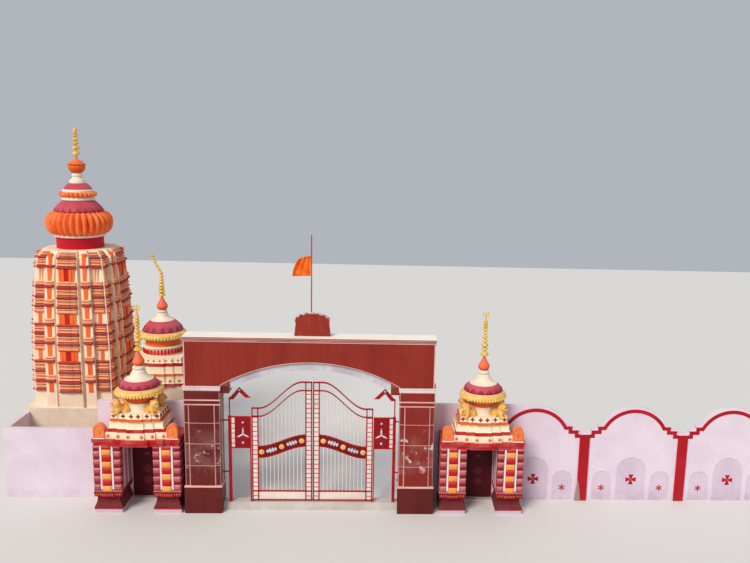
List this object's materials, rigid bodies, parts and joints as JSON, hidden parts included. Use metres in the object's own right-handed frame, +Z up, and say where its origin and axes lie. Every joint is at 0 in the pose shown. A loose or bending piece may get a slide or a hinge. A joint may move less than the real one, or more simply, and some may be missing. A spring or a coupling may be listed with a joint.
{
  "type": "hindu temple street front",
  "caption": "Street front of a hindu temple: arched gateway with iron gates, domed gate shrines, scalloped boundary wall and ribbed towers with finials.",
  "frame": {"origin": "on the ground under the middle of the gateway's threshold", "axes": "+X along the street to the right as seen from the street, +Y into the compound, +Z up"},
  "size_m": [31.385, 7.22, 14.573],
  "materials": {
    "maroon_tile": "glazed wall tile, chalky stains",
    "grey_render": "painted cement render",
    "cream_paint": "painted cement render",
    "red_iron": "gloss enamel",
    "orange_metal": "gloss enamel",
    "orange_cloth": "thin dyed cotton",
    "concrete": "whitewashed concrete",
    "pink_render": "painted cement render",
    "maroon_render": "painted cement render",
    "magenta_render": "painted cement render",
    "gold_render": "painted cement render",
    "whitewash": "limewash with stains",
    "door_wood": "gloss paint",
    "salmon_render": "painted cement render",
    "orange_render": "painted cement render"
  },
  "bodies": {
    "temple_front": {"gate_pier_left": "maroon_tile", "gate_pier_right": "maroon_tile", "gate_arch_wall": "maroon_tile", "gate_arch_rib": "grey_render", "gate_coping": "cream_paint", "gate_crest": "maroon_tile", "flag_pole": "orange_metal", "flag": "orange_cloth", "gate_threshold": "concrete", "wicket_frame_left": "red_iron", "wicket_frame_right": "red_iron", "wall_link_right": "whitewash", "wall_link_left": "whitewash", "wall_bay_1": "whitewash", "wall_bay_2": "whitewash", "wall_bay_3": "whitewash", "wall_left": "whitewash", "wall_return": "cream_paint", "tower_wall_front": "cream_paint", "tower_wall_left": "cream_paint", "tower_wall_right": "cream_paint", "tower_wall_rear": "cream_paint", "tower_plinth": "cream_paint", "tower_body": "salmon_render", "tower_neck": "maroon_render", "tower_amalaka": "orange_render", "tower_crown": "magenta_render", "tower_finial": "gold_render", "small_tower_wall_front": "cream_paint", "small_tower_wall_left": "cream_paint", "small_tower_wall_right": "cream_paint", "small_tower_tiers": "cream_paint", "small_tower_crown": "magenta_render", "small_tower_finial": "gold_render", "shrine_right_pier_near": "pink_render", "shrine_right_pier_far": "pink_render", "shrine_right_sill": "concrete", "shrine_right_cornice": "maroon_render", "shrine_right_roof": "cream_paint", "shrine_right_crown": "magenta_render", "shrine_right_finial": "gold_render", "shrine_left_pier_near": "pink_render", "shrine_left_pier_far": "pink_render", "shrine_left_sill": "concrete", "shrine_left_cornice": "maroon_render", "shrine_left_roof": "cream_paint", "shrine_left_crown": "magenta_render", "shrine_left_finial": "gold_render"},
    "left_leaf": {"gate_leaf_left": "red_iron"},
    "right_leaf": {"gate_leaf_right": "red_iron"},
    "right_shrine_door": {"shrine_right_door": "door_wood"},
    "left_shrine_door": {"shrine_left_door": "door_wood"}
  },
  "joints": [
    {"name": "left_leaf_swing", "type": "hinge", "parent": "temple_front", "child": "left_leaf", "pos_m": [-2.265, 0.06, 0.33], "axis": [0, 0, 1], "range_deg": [0, 95]},
    {"name": "right_leaf_swing", "type": "hinge", "parent": "temple_front", "child": "right_leaf", "pos_m": [2.365, 0.06, 0.33], "axis": [0, 0, -1], "range_deg": [0, 95]},
    {"name": "right_shrine_door_swing", "type": "hinge", "parent": "temple_front", "child": "right_shrine_door", "pos_m": [6.1, 1.004, 0.08], "axis": [0, 0, 1], "range_deg": [0, 90]},
    {"name": "left_shrine_door_swing", "type": "hinge", "parent": "temple_front", "child": "left_shrine_door", "pos_m": [-6.01, 1.004, 0.08], "axis": [0, 0, -1], "range_deg": [0, 90]}
  ]
}
